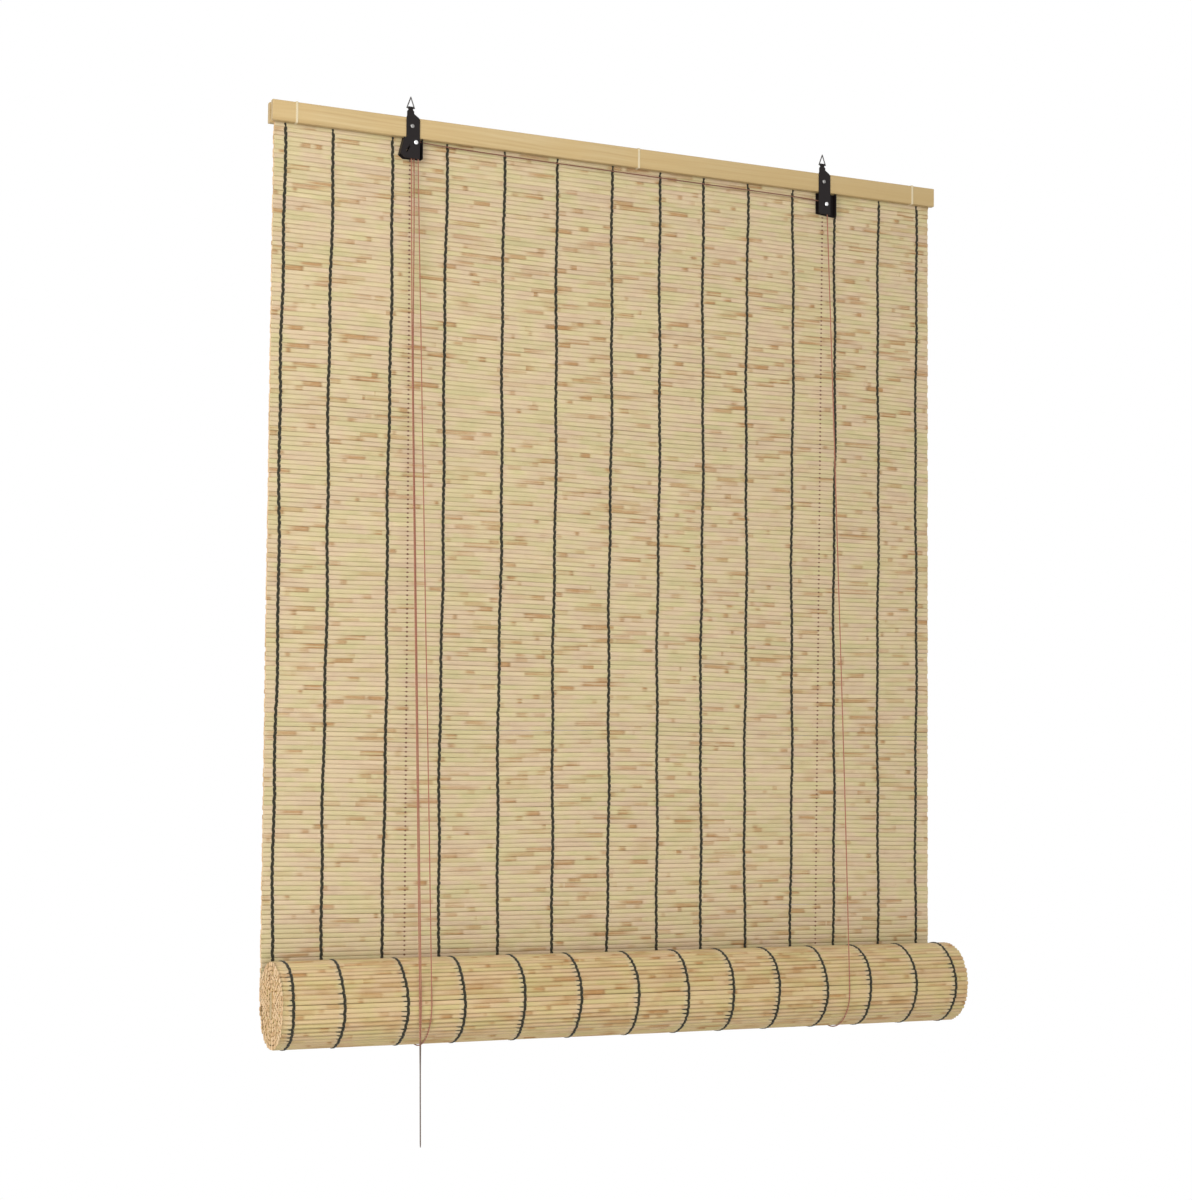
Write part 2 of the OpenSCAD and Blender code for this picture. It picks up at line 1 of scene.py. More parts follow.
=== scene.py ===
"""Looks of a reed roll up blind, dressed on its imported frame. Metres, in the frame's own axes."""

import json
import math

import bpy
import numpy as np
from mathutils import Matrix, Vector


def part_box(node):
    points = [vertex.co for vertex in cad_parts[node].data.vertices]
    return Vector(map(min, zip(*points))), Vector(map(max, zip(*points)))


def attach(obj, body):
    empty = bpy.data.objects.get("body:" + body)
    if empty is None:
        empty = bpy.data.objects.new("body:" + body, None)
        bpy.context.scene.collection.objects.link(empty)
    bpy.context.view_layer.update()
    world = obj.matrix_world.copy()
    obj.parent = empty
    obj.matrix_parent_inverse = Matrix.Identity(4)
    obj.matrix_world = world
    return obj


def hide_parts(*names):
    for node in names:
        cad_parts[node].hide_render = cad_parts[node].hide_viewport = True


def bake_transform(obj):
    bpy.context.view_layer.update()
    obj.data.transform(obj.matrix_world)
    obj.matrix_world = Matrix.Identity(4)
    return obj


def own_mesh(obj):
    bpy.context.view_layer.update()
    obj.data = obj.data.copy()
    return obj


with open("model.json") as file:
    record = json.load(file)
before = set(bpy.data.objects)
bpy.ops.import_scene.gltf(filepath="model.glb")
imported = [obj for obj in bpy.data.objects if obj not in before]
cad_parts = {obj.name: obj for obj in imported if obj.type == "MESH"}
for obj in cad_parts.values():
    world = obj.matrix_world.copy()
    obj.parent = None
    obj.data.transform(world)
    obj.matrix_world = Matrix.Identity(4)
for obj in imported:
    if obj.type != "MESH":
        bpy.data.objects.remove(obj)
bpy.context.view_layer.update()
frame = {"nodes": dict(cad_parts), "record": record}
rng = np.random.default_rng(23)

# sizes of the mat and the roll, from the frame's nodes
mat_low, mat_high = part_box("hanging_mat")
roll_low, roll_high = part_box("rolled_mat")
HALF = mat_high.x
MAT_Y = (mat_low.y + mat_high.y) / 2
MAT_FRONT = mat_low.y
MAT_BACK = mat_high.y
REED_D = mat_high.y - mat_low.y
REEDS = 192
PITCH = (mat_high.z - mat_low.z) / REEDS
ROLL_R = (roll_high.z - roll_low.z) / 2
ROLL_Y = MAT_BACK - ROLL_R

# sizes that the part's source gives
DROP = 1.159   # from the middle of the rail down to the middle of the roll
RAIL_BOTTOM = -0.0135
HOOK = 0.3165   # half the way from hook to hook
HOOK_SHIFT = 0.0025   # the hooks' middle lies this far right of the mat's
STRING_SHARES = [-0.971, -0.841, -0.675, -0.521, -0.355, -0.197, -0.031,
                 0.117, 0.253, 0.393, 0.542, 0.681, 0.828, 0.958]
STRING_XS = [s * HALF for s in STRING_SHARES]
STRING_T = 0.0009
SEAT_GAP = 0.0003
CORD_D = 0.0018
CORD_PATH_R = 0.0047   # a cord's middle line round a wheel
FRONT_Y = -0.1218   # plane of the cords in front of the roll
BACK_Y = -0.0078   # plane of the cords behind the mat
FRONT_LANE = -0.0221875
REAR_LANE = -0.0184125
FRONT_LEAN = 0.0008   # how far a cord has left its lane where it leaves the housing
REAR_LEAN = 0.0019
OUT_DROP = 0.023   # from a wheel's axle down to where its cords leave the housing
LEFT_HUB = (0.004, -0.020)
RIGHT_HUB = (0.003, -0.031)


# camera
def place_camera():
    """The view of the photograph: the eye is left of the blind and below its middle."""
    focal_px, frame_px, sensor_mm = 2170.6, 1200, 36
    yaw, pitch, roll = 0.41772, 0.05224, 0.00792
    eye = Vector((-1.2489, -2.7492, -0.8631))
    forward = Vector((math.sin(yaw) * math.cos(pitch), math.cos(yaw) * math.cos(pitch),
                      math.sin(pitch)))
    level_right = Vector((math.cos(yaw), -math.sin(yaw), 0))
    level_up = level_right.cross(forward)
    right = level_right * math.cos(roll) + level_up * math.sin(roll)
    up = level_up * math.cos(roll) - level_right * math.sin(roll)
    data = bpy.data.cameras.new("view")
    data.sensor_width = sensor_mm
    data.lens = focal_px * sensor_mm / frame_px
    data.shift_y = 0.05
    data.clip_end = 60
    camera = bpy.data.objects.new("view", data)
    turned = Matrix((right, up, -forward)).transposed().to_4x4()
    camera.matrix_world = Matrix.Translation(eye) @ turned
    bpy.context.scene.collection.objects.link(camera)
    bpy.context.scene.camera = camera


place_camera()


# mesh helpers
def new_object(name, verts, faces):
    """A mesh object, linked to the scene."""
    mesh = bpy.data.meshes.new(name)
    mesh.from_pydata([tuple(v) for v in verts], [], faces)
    mesh.validate()
    obj = bpy.data.objects.new(name, mesh)
    bpy.context.scene.collection.objects.link(obj)
    return obj


class Build:
    """Gathers vertices and faces. Each vertex carries a mark of three numbers and a share of paler tone.
    """

    def __init__(self):
        self.verts, self.faces, self.marks, self.worn = [], [], [], []
        self.flat, self.slots, self.count = [], [], 0

    def add(self, points, faces, mark=(0.5, 0.5, 0.5), slot=0, flat=False, worn=None):
        """Adds a shell, whose faces count from its own first point."""
        base = self.count
        points = np.asarray(points, float).reshape(-1, 3)
        self.verts.append(points)
        self.marks.append(np.tile(np.asarray(mark, float), (len(points), 1)))
        self.worn.append(np.zeros(len(points)) if worn is None else worn)
        self.faces.extend([tuple(base + i for i in f) for f in faces])
        self.flat.extend([flat] * len(faces))
        self.slots.extend([slot] * len(faces))
        self.count += len(points)

    def finish(self, name, materials):
        """The piece as an object, with the materials in the order of its slots."""
        obj = new_object(name, np.concatenate(self.verts), self.faces)
        mesh = obj.data
        mesh.polygons.foreach_set("use_smooth", [not f for f in self.flat])
        mesh.polygons.foreach_set("material_index", self.slots)
        mark = mesh.attributes.new("mark", "FLOAT_VECTOR", "POINT")
        mark.data.foreach_set("vector", np.concatenate(self.marks).ravel())
        worn = mesh.attributes.new("worn", "FLOAT", "POINT")
        worn.data.foreach_set("value", np.concatenate(self.worn))
        for material in materials:
            mesh.materials.append(material)
        return obj


def ring_faces(rings, sides):
    """Faces between rings of points that follow each other."""
    out = []
    for i in range(rings - 1):
        for k in range(sides):
            a, b = i * sides + k, i * sides + (k + 1) % sides
            out.append((a, b, b + sides, a + sides))
    return out


def smooth_path(points, step):
    """Points about a step apart on a curve through the given ones, sharp nowhere."""
    p = [Vector(q) for q in points]
    p = [p[0] * 2 - p[1]] + p + [p[-1] * 2 - p[-2]]
    out = []
    for i in range(1, len(p) - 2):
        reach = (p[i + 1] - p[i]).length
        count = max(1, int(math.ceil(reach / step)))
        t0 = (p[i + 1] - p[i - 1]).normalized() * reach
        t1 = (p[i + 2] - p[i]).normalized() * reach
        for k in range(count):
            u = k / count
            h00, h10 = 2 * u**3 - 3 * u**2 + 1, u**3 - 2 * u**2 + u
            h01, h11 = -2 * u**3 + 3 * u**2, u**3 - u**2
            out.append(h00 * p[i] + h10 * t0 + h01 * p[i + 1] + h11 * t1)
    out.append(p[-2])
    return out


def sweep(build, path, radii, sides=8, twist=0.0, lobes=0.0, flatten=None, flat=1.0):
    """A tube along a path, with a radius for each point.

    twist is the length of one turn of a laid cord, and lobes the depth of its two plies as a
    share of the radius. flatten gives, for each point, the direction in which the section is
    pressed down to the share flat."""
    pts = [Vector(p) for p in path]
    n = len(pts)
    tangents = [(pts[min(i + 1, n - 1)] - pts[max(i - 1, 0)]).normalized() for i in range(n)]
    side = Vector((1, 0, 0)) if abs(tangents[0].x) < 0.8 else Vector((0, 1, 0))
    normal = (side - tangents[0] * side.dot(tangents[0])).normalized()
    verts, run = [], 0.0
    for i in range(n):
        if i:
            run += (pts[i] - pts[i - 1]).length
            normal = (normal - tangents[i] * normal.dot(tangents[i])).normalized()
        binormal = tangents[i].cross(normal)
        turn = 2 * math.pi * run / twist if twist else 0.0
        for k in range(sides):
            a = 2 * math.pi * k / sides
            r = radii[i] * (1 - lobes + lobes * math.cos(2 * (a - turn)))
            off = r * (math.cos(a) * normal + math.sin(a) * binormal)
            if flatten is not None:
                d = Vector(flatten[i])
                off -= (1 - flat) * off.dot(d) * d
            verts.append(pts[i] + off)
    caps = [tuple(reversed(range(sides))), tuple((n - 1) * sides + k for k in range(sides))]
    build.add([tuple(v) for v in verts], ring_faces(n, sides) + caps)


# materials
class Nodes:
    """Short names for the shader nodes that the materials use."""

    def __init__(self, name):
        self.material = bpy.data.materials.new(name)
        self.material.use_nodes = True
        self.tree = self.material.node_tree
        self.shader = self.tree.nodes["Principled BSDF"]

    def fill(self, socket, value):
        """Links what another node gives, or sets a number or a colour."""
        if isinstance(value, bpy.types.NodeSocket):
            self.tree.links.new(value, socket)
        elif socket.type == "RGBA":
            socket.default_value = (*value, 1)
        else:
            socket.default_value = value

    def node(self, kind, inputs=None, **values):
        n = self.tree.nodes.new(kind)
        for k, v in values.items():
            setattr(n, k, v)
        for k, v in (inputs or {}).items():
            self.fill(n.inputs[k], v)
        return n

    def math(self, op, a, b=0.0, clamp=False):
        return self.node("ShaderNodeMath", {0: a, 1: b}, operation=op, use_clamp=clamp).outputs[0]

    def plus(self, a, b, clamp=False):
        return self.math("ADD", a, b, clamp)

    def minus(self, a, b):
        return self.math("SUBTRACT", a, b)

    def times(self, a, b, clamp=False):
        return self.math("MULTIPLY", a, b, clamp)

    def climb(self, value, start, slope):
        """0 below start, and from there up to 1."""
        return self.times(self.minus(value, start), slope, clamp=True)

    def at(self, *parts):
        """A vector of three parts, each a number, a socket, or a socket with its factor."""
        parts = [self.times(*p) if isinstance(p, tuple) else p for p in parts]
        return self.node("ShaderNodeCombineXYZ", dict(enumerate(parts))).outputs[0]

    def stretched(self, place, along, across):
        """A place with one factor along the blind's width and one across it."""
        x, y, z = place
        return self.at((x, along), (y, across), (z, across))

    def noise(self, vector, detail, rough=0.5):
        inputs = {"Vector": vector, "Scale": 1.0, "Detail": detail, "Roughness": rough}
        return self.node("ShaderNodeTexNoise", inputs).outputs["Fac"]

    def ramp(self, fac, stops):
        n = self.node("ShaderNodeValToRGB", {"Fac": fac})
        while len(n.color_ramp.elements) < len(stops):
            n.color_ramp.elements.new(0.5)
        for element, (position, colour) in zip(n.color_ramp.elements, stops):
            element.position = position
            element.color = (*colour, 1)
        return n.outputs["Color"]

    def mix(self, fac, a, b, blend="MIX"):
        n = self.node("ShaderNodeMix", {0: fac, 6: a, 7: b}, data_type="RGBA", blend_type=blend)
        return n.outputs[2]

    def place(self):
        """X, Y and Z on the piece."""
        coord = self.node("ShaderNodeTexCoord").outputs["Object"]
        return self.node("ShaderNodeSeparateXYZ", {0: coord}).outputs

    def mark(self):
        """The three numbers that Build stores with each vertex."""
        mark = self.node("ShaderNodeAttribute", attribute_name="mark").outputs["Vector"]
        return self.node("ShaderNodeSeparateXYZ", {0: mark}).outputs

    def bump(self, height, strength, distance):
        inputs = {"Height": height, "Strength": strength, "Distance": distance}
        self.fill(self.shader.inputs["Normal"], self.node("ShaderNodeBump", inputs).outputs[0])

    def done(self, colour, roughness, specular, metallic=0.0, sheen=0.0):
        for name, value in (("Base Color", colour), ("Roughness", roughness), ("Metallic", metallic),
                            ("Specular IOR Level", specular), ("Sheen Weight", sheen)):
            self.fill(self.shader.inputs[name], value)
        return self.material


BLACK, WHITE = (0, 0, 0), (1, 1, 1)
REED_HUES = [(0.05, (0.612, 0.498, 0.252)), (0.30, (0.652, 0.514, 0.274)),
             (0.50, (0.676, 0.516, 0.296)), (0.72, (0.676, 0.494, 0.304)),
             (0.95, (0.650, 0.462, 0.288))]
REED_LIGHTNESS = [(0.08, (0.90, 0.90, 0.90)), (0.42, (1.09, 1.09, 1.09))]
REED_FIBRES = [(0.30, (0.91, 0.90, 0.88)), (0.62, (1.03, 1.03, 1.02))]
TAN = (0.540, 0.350, 0.175)
STREAK = (0.460, 0.248, 0.098)
KNOT = (0.180, 0.100, 0.048)
# paler tone that the rolled reeds take beside each string
PALE_BESIDE_STRINGS = (0.68, 0.62, 0.50)
PITH = [(0.0, (0.58, 0.36, 0.18)), (0.14, (0.74, 0.50, 0.28)), (0.5, (0.82, 0.57, 0.34)),
        (0.93, (0.87, 0.65, 0.41)), (1.0, (0.50, 0.30, 0.16))]
PITH_SPOTS = [(0.32, (0.78, 0.75, 0.70)), (0.6, (1.05, 1.04, 1.02))]
PINE = [(0.28, (0.420, 0.292, 0.128)), (0.5, (0.489, 0.356, 0.172)), (0.72, (0.533, 0.407, 0.217))]
PINE_PATCH = (0.50, 0.345, 0.150)


def reed_tone(n, x, index, one, two, patch, gate):
    """The colour under the streaks: it drifts from reed to reed, with pale and tan stretches."""
    lane = n.times(index, 7.31)
    drifting = n.noise(n.at((x, 15.0), (index, 0.42), 0.0), 3.0, 0.6)
    own = n.noise(n.at((x, 20.0), lane, 5.0), 2.0)
    hue = n.plus(n.times(n.minus(drifting, 0.5), 2.3), n.times(n.minus(own, 0.5), 1.5))
    hue = n.plus(n.plus(hue, 0.40), n.times(one, 0.20), clamp=True)
    bright = n.noise(n.at((x, 17.0), lane, 9.0), 2.0)
    bright = n.plus(n.times(bright, 0.34), n.times(two, 0.12))
    base = n.mix(1.0, n.ramp(hue, REED_HUES), n.ramp(bright, REED_LIGHTNESS), "MULTIPLY")
    tan = n.noise(n.at((x, 15.0), (index, 0.36), 17.0), 2.0)
    tan = n.climb(n.plus(tan, n.times(two, 0.05)), gate, 9.0)
    return n.mix(n.times(tan, patch), base, TAN)


def reed_streaks(n, base, place, index, more):
    """Brown streaks that swell towards a joint and stop at it, some with a dark knot there."""
    x = place[0]
    grain = n.climb(n.noise(n.stretched(place, 55.0, 900.0), 3.0, 0.6), 0.36, 3.2)
    crowd = n.times(n.minus(n.noise(n.at((x, 7.0), (index, 0.05), 31.0), 2.0), 0.5), 1.6)
    band = n.climb(n.noise(n.stretched(place, 8.0, 340.0), 1.0), 0.40, 7.0)
    band = n.plus(n.times(band, 0.72), 0.28)
    for per_metre, start, rare, leftwards in ((9.0, 0.0, 0.38, False), (6.2, 11.0, 0.74, True)):
        u = n.plus(n.times(x, per_metre), n.plus(n.times(index, 3.77), start))
        part = n.math("FRACT", u)
        if leftwards:
            part = n.minus(1.0, part)
        cell = {"Vector": n.at(n.math("FLOOR", u), index, start)}
        dice = n.node("ShaderNodeTexWhiteNoise", cell, noise_dimensions="3D").outputs["Color"]
        d1, d2, d3 = n.node("ShaderNodeSeparateXYZ", {0: dice}).outputs
        here = n.math("GREATER_THAN", n.plus(d1, crowd), rare - more)
        begin = n.minus(0.90, n.times(n.math("POWER", d2, 1.6), 0.42))
        swell = n.math("DIVIDE", n.minus(part, begin), n.minus(1.0, begin), clamp=True)
        swell = n.times(swell, 2.2, clamp=True)
        stop = n.times(n.minus(1.0, part), 26.0, clamp=True)
        power = n.times(n.times(swell, here), stop)
        line = n.climb(n.plus(power, grain), 0.62, 1.5)
        power = n.times(n.times(power, band), n.plus(line, 0.15))
        streak = n.times(power, n.plus(n.times(d3, 0.64), 0.34), clamp=True)
        base = n.mix(streak, base, STREAK)
        knot = n.times(n.times(n.climb(part, 0.93, 16.0), power), n.math("POWER", d3, 2.0))
        base = n.mix(n.times(knot, 0.55), base, KNOT)
    return base


def reed_material(name, gain, patch, gate, more):
    """Split reed: tones drift along and across the mat, with brown streaks that end at a joint.

    patch and gate set how deep and how common the tan patches are, more adds streaks."""
    n = Nodes(name)
    place = n.place()
    index, one, two = n.mark()
    base = reed_tone(n, place[0], index, one, two, patch, gate)
    base = reed_streaks(n, base, place, index, more)
    fibres = n.noise(n.stretched(place, 30.0, 1400.0), 4.0, 0.65)
    base = n.mix(1.0, base, n.ramp(fibres, REED_FIBRES), "MULTIPLY")
    worn = n.node("ShaderNodeAttribute", attribute_name="worn").outputs["Fac"]
    # paler tone beside each string
    base = n.mix(n.times(worn, 0.22), base, PALE_BESIDE_STRINGS)
    base = n.mix(1.0, base, gain, "MULTIPLY")
    n.bump(fibres, 0.30, 0.0004)
    return n.done(base, n.plus(n.times(fibres, 0.25), 0.42), 0.30)


def reed_end_material():
    """Cut ends of the reeds: pale pith, a darker rim and the odd stained one."""
    n = Nodes("reed_cut_ends")
    _, y, z = n.place()
    one, two, _ = n.mark()
    spots = n.noise(n.at((y, 900.0), (z, 900.0), one), 3.0)
    base = n.mix(1.0, n.ramp(two, PITH), n.ramp(spots, PITH_SPOTS), "MULTIPLY")
    n.bump(spots, 0.5, 0.0005)
    return n.done(base, 0.85, 0.1)


def batten_material(name, right_end_painted_shade):
    """Planed softwood: long faint grain, and painted shade that slowly darkens it from one end towards
    the right end.
    """
    n = Nodes(name)
    place = n.place()
    x, y, z = place
    warp = n.noise(n.stretched(place, 3.0, 20.0), 2.0)
    bent_z = n.plus(n.times(z, 260.0), n.times(warp, 5.0))
    grain = n.noise(n.at((x, 5.0), (y, 260.0), bent_z), 4.0, 0.6)
    patch = n.noise(n.at((x, 9.0), 3.0, 7.0), 1.0)
    patch = n.times(n.ramp(patch, [(0.45, BLACK), (0.6, WHITE)]), 0.35)
    base = n.mix(patch, n.ramp(grain, PINE), PINE_PATCH)
    # painted shade: the wood darkens towards the right end, where the light falls off
    along = n.math("POWER", n.plus(n.times(x, 0.9), 0.52, clamp=True), 2.0)
    base = n.mix(n.times(along, 0.80), base, right_end_painted_shade)
    pores = n.noise(n.stretched(place, 60.0, 2200.0), 2.0)
    n.bump(pores, 0.25, 0.0003)
    return n.done(base, n.plus(n.times(pores, 0.2), 0.42), 0.35)


def twine_material(name, dark, light, below=None):
    """Spun yarn: fine slanted plies, a little paler where they catch the light.

    below is a height, and the dark and light tones that the yarn has under it."""
    n = Nodes(name)
    place = n.place()
    x, y, z = place
    slant = n.plus(n.plus(n.times(z, 2600.0), n.times(x, 1900.0)), n.times(y, 900.0))
    ply = n.plus(n.times(n.math("SINE", slant), 0.5), 0.5)
    fuzz = n.noise(n.stretched(place, 700.0, 700.0), 3.0)
    share = n.times(ply, n.plus(n.times(fuzz, 0.8), 0.2))
    base = n.mix(share, dark, light)
    if below:
        height, low_dark, low_light = below
        under = n.times(n.minus(height, z), 60.0, clamp=True)
        base = n.mix(under, base, n.mix(share, low_dark, low_light))
    n.bump(n.plus(ply, n.times(fuzz, 0.5)), 0.6, 0.0004)
    return n.done(base, 0.85, 0.15, sheen=0.15)


def steel_material(name, colour, rough, metallic, speck, specular=0.5):
    """Enamelled or plated sheet: faint orange peel and a few specks of wear."""
    n = Nodes(name)
    place = n.place()
    wear = n.noise(n.stretched(place, 520.0, 520.0), 4.0, 0.7)
    base = n.mix(n.ramp(wear, [(0.62, BLACK), (0.80, WHITE)]), colour, speck)
    n.bump(n.noise(n.stretched(place, 900.0, 900.0), 2.0), 0.2, 0.0002)
    return n.done(base, n.plus(n.times(wear, 0.2), rough), specular, metallic)


REED = reed_material("reed_hanging", (0.832, 0.879, 0.931), patch=0.42, gate=0.62, more=0.0)
REED_ROLL = reed_material("reed_rolled", (0.816, 0.812, 0.740), patch=0.72, gate=0.58, more=0.16)
REED_END = reed_end_material()
# the last colour of each is the painted shade at its right end
BATTEN = batten_material("batten_planed", (0.440, 0.312, 0.140))
SLAT = batten_material("slat_wood", (0.56, 0.42, 0.23))
TWINE = twine_material("warp_twine", (0.018, 0.017, 0.010), (0.062, 0.056, 0.034))
CORD_TONES = ((0.270, 0.100, 0.060), (0.520, 0.260, 0.170))
CORD = twine_material("lift_cord", *CORD_TONES)
TAIL = twine_material("pull_cord_tail", *CORD_TONES,
                      below=(-1.198, (0.100, 0.070, 0.055), (0.220, 0.165, 0.130)))
# cord tones darkened as painted shade: the rail's shade on the cross cord, and the shade of the reed gaps
# on the back-run dots
CORD_IN_PAINTED_SHADE = twine_material("cord_painted_shade", (0.150, 0.062, 0.038), (0.300, 0.155, 0.100))
TIE = twine_material("pale_tie", (0.56, 0.46, 0.28), (0.76, 0.67, 0.48))
ENAMEL = steel_material("black_enamel", (0.009, 0.006, 0.006), 0.38, 0.0, (0.030, 0.020, 0.018),
                        specular=0.22)
NICKEL = steel_material("nickel_plate", (0.80, 0.80, 0.80), 0.20, 1.0, (0.55, 0.54, 0.53))
DULL = steel_material("dull_screw", (0.30, 0.29, 0.28), 0.42, 1.0, (0.20, 0.19, 0.18))
WIRE = steel_material("ring_wire", (0.11, 0.105, 0.10), 0.30, 1.0, (0.06, 0.055, 0.05))
PULLEY = steel_material("pulley_moulding", (0.060, 0.047, 0.042), 0.45, 0.0, (0.12, 0.10, 0.09))
SLOT_MATERIALS = {"batten_wood": BATTEN, "reed": REED, "warp_string": TWINE, "cord": CORD,
                  "tie_string": TIE, "black_steel": ENAMEL, "bright_steel": NICKEL,
                  "pulley_plastic": PULLEY}
NODE_MATERIALS = {"bottom_slat": SLAT, "left_ring": WIRE, "right_ring": WIRE,
                  "left_screw": DULL, "right_screw": DULL}
for row in frame["record"]["subparts"]:
    node = frame["nodes"][row["node"]]
    node.data.materials.clear()
    node.data.materials.append(NODE_MATERIALS.get(row["node"])
                               or SLOT_MATERIALS[row["material_slot"]])


# cords
OVER_FRONT_WHEEL = ((1, 0.06), (0.77, 0.66), (0, 1), (-0.77, 0.66), (-1, 0))
OVER_REAR_WHEEL = ((-0.04, 1), (-0.77, 0.66), (-1, 0))
OVER_RIGHT_WHEEL = ((1, 0.06), (0.77, 0.7), (0, 1), (-2.45, 1.17))
ONTO_LEFT_WHEEL = ((3.5, 0.51), (0.04, 1))
ACROSS = ((0.844, 0.0061), (0.378, 0.0046), (-0.07, 0.0034), (-0.583, 0.0021))
LEFT_BIGHT_XS = (0.0056, 0.0064)
RIGHT_BIGHT_XS = (-0.0069, -0.0124)


def fall(top, xs):
    """A straight fall of cord from top to the front of the roll, in equal steps."""
    out = [tuple(top)]
    for i, x in enumerate(xs):
        share = (i + 1) / len(xs)
        out.append((x, top[1] + share * (FRONT_Y - top[1]), top[2] - share * (DROP + top[2])))
    return out


def tail(xs, backs, falls):
    """The free end of a pull cord, from the front of the roll down."""
    return [(x, FRONT_Y + b, -DROP - f) for x, b, f in zip(xs, backs, falls)]


def bight(xs):
    """The stretch of a lift cord under the roll, from behind it to its front."""
    reach = ROLL_Y - FRONT_Y
    return [(xs[0] + (xs[1] - xs[0]) * a / 180, ROLL_Y + reach * math.cos(math.radians(a)),
             -DROP - SEAT_GAP - reach * math.sin(math.radians(a)))
            for a in range(0, 181, 15)]


def by_wheel(hub, lane, p):
    """A cord's point beside a wheel. Its distances from the axle are shares of CORD_PATH_R."""
    return hub[0] + CORD_PATH_R * p[0], lane, hub[1] + CORD_PATH_R * p[1]


def out_of(hub, y, x):
    """A point below a housing, where a cord leans out of its lane towards the room."""
    return x, y, hub[1] - OUT_DROP


def at_hook(side, route):
    """A route that is given beside a hook. Side 0 leaves it where it is."""
    shift = side * HOOK + HOOK_SHIFT if side else 0.0
    return [(shift + x, y, z) for x, y, z in route]


LEFT_FRONT = [by_wheel(LEFT_HUB, FRONT_LANE, (1, 0))] + fall(
    out_of(LEFT_HUB, FRONT_LANE - FRONT_LEAN, 0.0082), (0.0077, 0.0073, 0.0071, 0.0064))
RIGHT_FRONT = [by_wheel(RIGHT_HUB, REAR_LANE, (1, 0))] + fall(
    out_of(RIGHT_HUB, REAR_LANE - REAR_LEAN, 0.0076), (0.0033, -0.0014, -0.0062, -0.0124))
LEFT_BACK = [(-0.0010, BACK_Y, RAIL_BOTTOM), (0.0030, BACK_Y, -DROP / 2), (0.0056, BACK_Y, -DROP)]
RIGHT_BACK = [(0.0025, BACK_Y, RAIL_BOTTOM), (-0.0021, BACK_Y, -DROP / 2), (-0.0069, BACK_Y, -DROP)]
PULL_A = [by_wheel(LEFT_HUB, FRONT_LANE, p) for p in OVER_FRONT_WHEEL] + fall(
    out_of(LEFT_HUB, FRONT_LANE - FRONT_LEAN, -0.0014), (-0.0051, -0.0069, -0.0083, -0.0099))
PULL_B = [by_wheel(LEFT_HUB, REAR_LANE, p) for p in OVER_REAR_WHEEL] + fall(
    out_of(LEFT_HUB, REAR_LANE - REAR_LEAN, 0.0032), (-0.0030, -0.0048, -0.0062, -0.0078))
PULL_A_TAIL = tail((-0.0099, -0.0092, -0.0081, -0.0074, -0.0068), (0, 0, 0, 0, 0),
                   (0.0003, 0.041, 0.091, 0.141, 0.179))
PULL_B_TAIL = tail((-0.0078, -0.0076, -0.0074, -0.0067, -0.0062),
                   (0, 0.0015, 0.0019, 0.0019, 0.0019), (0.0003, 0.041, 0.091, 0.141, 0.175))
CROSS_FALL = LEFT_HUB[1] - RIGHT_HUB[1]
CROSS = at_hook(1, [by_wheel(RIGHT_HUB, REAR_LANE, p) for p in OVER_RIGHT_WHEEL])
CROSS += [(HOOK * share + HOOK_SHIFT, REAR_LANE, LEFT_HUB[1] + up - CROSS_FALL * (1 + share) / 2)
          for share, up in ACROSS]
CROSS += at_hook(-1, [by_wheel(LEFT_HUB, REAR_LANE, p) for p in ONTO_LEFT_WHEEL])

FINE = 0.0016   # from one section of a cord to the next
CORD_LAY = 0.009   # length of one turn of its plies
CORD_LOBES = 0.03
CORD_R = CORD_D / 2 * 0.97   # its lobes stay inside the cord's own width
LOOSE_END = 0.060   # the stretch above the roll's middle that joins the piece under the roll
BARE_END = 0.003   # the stretch of a bare end that thins
BARE_GIRTH = 0.55   # what it keeps of its radius
PATH_POINTS = 34   # how many points free_cord picks along a stretch


def length_of(path):
    return sum((b - a).length for a, b in zip(path, path[1:]))


def fine(side, route):
    """A route as a close row of points."""
    return smooth_path(at_hook(side, route), FINE)


def parted(path, hub):
    """A front run as its turn over the wheel, its fall, and the stretch in front of the roll."""
    i = next(i for i, p in enumerate(path) if p.z < hub[1] - OUT_DROP)
    k = next(i for i, p in enumerate(path) if p.z < -DROP + LOOSE_END)
    return path[:i + 1], path[i:k + 1], path[k:]


def cord_radii(path, thins):
    """The cord's radius at each point. thins is the length of a bare end that gets thinner."""
    if not thins:
        return [CORD_R] * len(path)
    left = [length_of(path[i:]) for i in range(len(path))]
    return [CORD_R * min(1.0, BARE_GIRTH + (1 - BARE_GIRTH) * s / thins) for s in left]


def cord_piece(name, paths, nodes, thins=0.0, material=CORD):
    """Laid cord along one or more paths, in place of the nodes named."""
    build = Build()
    for path in paths:
        sweep(build, path, cord_radii(path, thins), twist=CORD_LAY, lobes=CORD_LOBES)
    obj = build.finish(name, [material])
    if nodes:
        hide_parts(*nodes)
    return obj


def free_cord(path):
    """Picks points along a stretch of cord that hangs free; they are not kept."""
    points = path[::max(1, len(path) // PATH_POINTS)]
    if points[-1] != path[-1]:
        points.append(path[-1])


def falling(obj):
    """Hangs the fall on the headrail, with a mesh of its own."""
    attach(obj, "headrail")
    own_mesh(obj)


